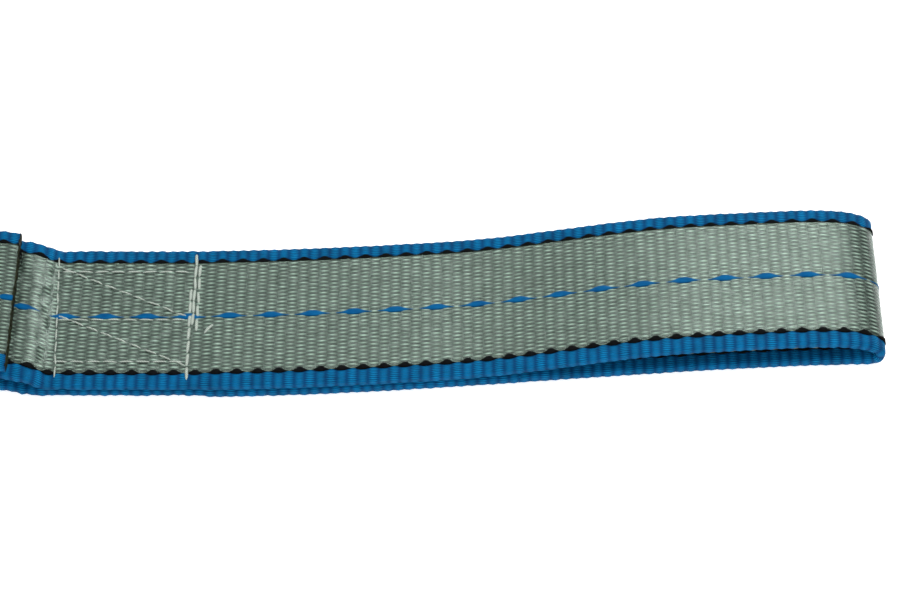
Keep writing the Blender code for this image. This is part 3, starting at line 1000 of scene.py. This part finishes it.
def build_seams(finishes):
    """Throat seams on both ends, the splice's seam, and the label's seam."""
    tree = sewn_seam_tree()
    heavy = stitch_shape(4.6 * MM, 0.48 * MM)
    sunk = stitch_shape(4.0 * MM, 0.25 * MM)
    light = stitch_shape(3.0 * MM, 0.30 * MM)
    seed = 3
    for side, sign in (("right", 1), ("left", -1)):
        for seam, routes in throat_routes().items():
            for thread in ("needle", "bobbin"):
                node = f"{side}_throat_{seam}_{thread}_thread"
                level = thread_level(node, thread)
                made = [[on_layer(x * MM, y * MM, level, sign) for x, y in route]
                        for route in routes]
                seed += 1
                stitch = heavy if seam == "cross" else sunk
                sew(f"{node}_sewn", made, stitch, STITCH_PITCH, tree, finishes,
                    f"{side}_throat", node, seed)
    stray_stitch(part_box("right_throat_cross_needle_thread")[0].z - 0.05 * MM, finishes)
    for thread in ("needle", "bobbin"):
        node = f"splice_{thread}_thread"
        level = thread_level(node, thread)
        made = [[on_layer(x, y, level, 1) for x, y in splice_route(*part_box(node))]]
        seed += 1
        sew(f"{node}_sewn", made, heavy, STITCH_PITCH, tree, finishes, "right_body", node, seed)
    low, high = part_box("label_thread")
    x, y = high.x - 0.4 * MM, high.y - 0.4 * MM
    corners = [(-x, -y), (x, -y), (x, y), (-x, y), (-x, -y)]
    level = low.z - 0.3 * MM
    made = [[(a, b, level) for a, b in corners]]
    sew("label_thread_sewn", made, light, 3.0 * MM, tree, finishes,
        "middle", "label_thread", seed + 1)
    for shape in (heavy, sunk, light):
        bpy.data.objects.remove(shape, do_unlink=True)


def stray_stitch(level, finishes):
    """One skipped stitch that lies loose beside the right cross seam."""
    piece = stitch_shape(4.2 * MM, 0.42 * MM)
    piece.name = "right_stray_stitch"
    piece.hide_render = False
    turn = Matrix.Rotation(math.atan2(3.3, 2.6), 4, "Z")
    place = Matrix.Translation(on_layer(307.8 * MM, -4.5 * MM, level, 1))
    piece.data.transform(place @ turn)
    fit(piece, "sewing_thread", "right_throat", finishes)


def splice_route(low, high):
    """Cross seam, zigzag and cross seam of the splice, between its CAD limits."""
    turns = 4
    start, end = low.x + 0.5 * MM, high.x - 0.5 * MM
    edge = 16.5 * MM
    points = [(start, -edge)]
    for i in range(turns + 1):
        far = -edge if i % 2 else edge
        points.append((start + (end - start) * i / turns, far))
    points.append((end, -far))
    return points


# ---- trim


def build_label(finishes):
    """Blank cloth label with a folded rim, lying on the top ply."""
    low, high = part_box("label")
    columns, rows = 76, 36
    x = np.linspace(low.x, high.x, columns + 1)[:, None]
    y = np.linspace(low.y, high.y, rows + 1)
    rim = np.minimum(np.minimum(x - low.x, high.x - x), np.minimum(y - low.y, high.y - y))
    fold = 0.35 * MM * (1.0 - ease((rim - 4 * MM) / (1.2 * MM)))
    ripple = 0.10 * MM * np.sin(x * 310 + 1.3) * np.sin(y * 420)
    z = low.z + 0.1 * MM + fold + ripple
    points = point_rows(x, y, z)
    index = np.arange(len(points)).reshape(columns + 1, rows + 1)
    piece = make_mesh("label_cloth", points, grid_faces(index))
    thick = piece.modifiers.new("cloth thickness", "SOLIDIFY")
    thick.thickness = 0.45 * MM
    thick.offset = 1.0
    piece.data.materials.append(finishes["label_cloth"])
    keep_result(piece, thick)
    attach(piece, "middle")
    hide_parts("label")


def singed_end(name, run, x, body, finishes, side):
    """Melted rim across a cut end of the web."""
    k = pick_at(run, x)
    length = np.array([RIGHT_PIVOT_LENGTH + k * PICK])
    px, pz, nx, nz, half = (float(value[0]) for value in PATH.at(length))
    rows, ring = 121, 10
    rng = np.random.default_rng(11)
    bumps = rng.normal(0.0, 1.0, (rows, ring))
    bumps = (bumps + np.roll(bumps, 1, axis=0) + np.roll(bumps, -1, axis=0)) / 3
    points = []
    for i in range(rows):
        v = WEB_HALF * 0.975 * (2 * i / (rows - 1) - 1)
        drift = 0.06 * MM + 0.20 * MM * math.sin(900 * v + 1) * math.sin(2300 * v)
        for j in range(ring):
            angle = 2 * math.pi * j / ring
            swell = 1.0 + 0.25 * bumps[i, j]
            out = side * (drift + 0.32 * MM * math.cos(angle) * swell)
            up = (half + 0.05 * MM) * math.sin(angle) * swell
            y = v + float(sway(px))
            points.append((px + nz * out + nx * up, y, pz - nx * out + nz * up))
    index = np.arange(rows * ring).reshape(rows, ring)
    piece = make_mesh(name, np.array(points), tube_faces(index))
    fit(piece, "singed_edge", body, finishes)


def frayed_ends(finishes):
    """Loose black marker filaments at the far corner of the over-tail's cut."""
    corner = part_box("splice_over_tail")[1]
    x, y, z = OVER_TAIL_END, GROUND_HALF + float(sway(OVER_TAIL_END)), corner.z
    rng = np.random.default_rng(5)
    points, faces = [], []
    for _ in range(9):
        spread = (-0.6, rng.uniform(-1.5, 1.0), -rng.uniform(0.2, 1.2))
        start = np.array([x, y, z]) + np.array(spread) * MM
        reach = (rng.uniform(0.6, 1.8), -rng.uniform(2.5, 7.0), -rng.uniform(1.2, 2.6))
        bow = (rng.uniform(0.0, 1.4), rng.uniform(-0.5, 0.5), rng.uniform(0.0, 0.5))
        reach, bow = np.array(reach) * MM, np.array(bow) * MM
        rows, ring = 12, 5
        base = len(points)
        for t in np.linspace(0.0, 1.0, rows):
            centre = start + reach * t + bow * math.sin(math.pi * t)
            radius = 0.13 * MM * (1.0 - 0.6 * t)
            for k in range(ring):
                angle = 2 * math.pi * k / ring
                around = np.array([math.cos(angle), 0.0, math.sin(angle)])
                points.append(centre + radius * around)
        faces += tube_faces(base + np.arange(rows * ring).reshape(rows, ring))
    piece = make_mesh("over_tail_frayed_yarn", np.array(points), faces)
    fit(piece, "marker_yarn", "right_body", finishes)


# ---- studio


def aim(thing, target):
    """Turn a light or a camera towards a place."""
    direction = Vector(target) - thing.location
    thing.rotation_euler = direction.to_track_quat("-Z", "Y").to_euler()


def area_light(name, place, target, size, watts):
    light = bpy.data.lights.new(name, "AREA")
    light.shape = "RECTANGLE"
    light.size, light.size_y = size
    light.energy = watts
    lamp = in_scene(name, light)
    lamp.location = place
    aim(lamp, target)


def build_studio():
    """Pale floor, soft lights and an even surround."""
    bpy.ops.mesh.primitive_plane_add(size=12.0, location=(0, 0, -0.0004))
    floor = bpy.context.object
    floor.name = "studio_floor"
    floor.data.materials.append(floor_material())
    world = bpy.data.worlds.new("studio")
    bpy.context.scene.world = world
    world.use_nodes = True
    surround = world.node_tree.nodes["Background"]
    surround.inputs["Color"].default_value = (1, 1, 1, 1)
    surround.inputs["Strength"].default_value = 0.32
    eye = (0.37, 0.0, 0.0)
    crest = (0.47, 0.0, 0.01)
    area_light("key_softbox", (-0.45, 0.7, 1.2), eye, (0.9, 0.8), 4.4)
    area_light("back_strip", (0.68, 0.85, 0.80), crest, (0.06, 1.0), 8.2)
    area_light("top_strip", (0.72, 0.05, 1.20), crest, (0.06, 1.0), 7.2)
    area_light("front_softbox", (0.50, -1.0, 0.75), eye, (1.0, 0.5), 10.5)
    bpy.context.scene.view_settings.view_transform = "Standard"


def build_camera():
    """Long lens looking down on the right eye."""
    camera = in_scene("camera", bpy.data.cameras.new("camera"))
    target = Vector((0.3764, 0.0066, 0.003))
    elevation = math.radians(50.6)
    distance = 0.87
    back = Vector((0, -math.cos(elevation), math.sin(elevation)))
    camera.location = target + distance * back
    aim(camera, target)
    camera.data.sensor_width = 36.0
    camera.data.lens = 120.8
    camera.data.clip_start = 0.01
    bpy.context.scene.camera = camera


def main():
    finishes = {
        "ground_web": grey_web_material(),
        "selvedge_web": blue_selvedge_material(),
        "marker_yarn": yarn_material(
            "black marker yarn", (0.0006, 0.0006, 0.0008), (0.004, 0.0045, 0.005), 0.75),
        "tracer_yarn": yarn_material(
            "blue tracer yarn", (0.0003, 0.042, 0.14), (0.0006, 0.105, 0.27), 0.6),
        "sewing_thread": thread_material(),
        "singed_edge": singed_material(),
        "label_cloth": label_material(),
    }
    build_camera()
    build_web(finishes)
    build_seams(finishes)
    build_label(finishes)
    singed_end("over_tail_singed_end", "home", OVER_TAIL_END, "right_body", finishes, 1)
    singed_end("under_tail_singed_end", "outward", UNDER_TAIL_START, "right_body",
               finishes, -1)
    frayed_ends(finishes)
    build_studio()


main()
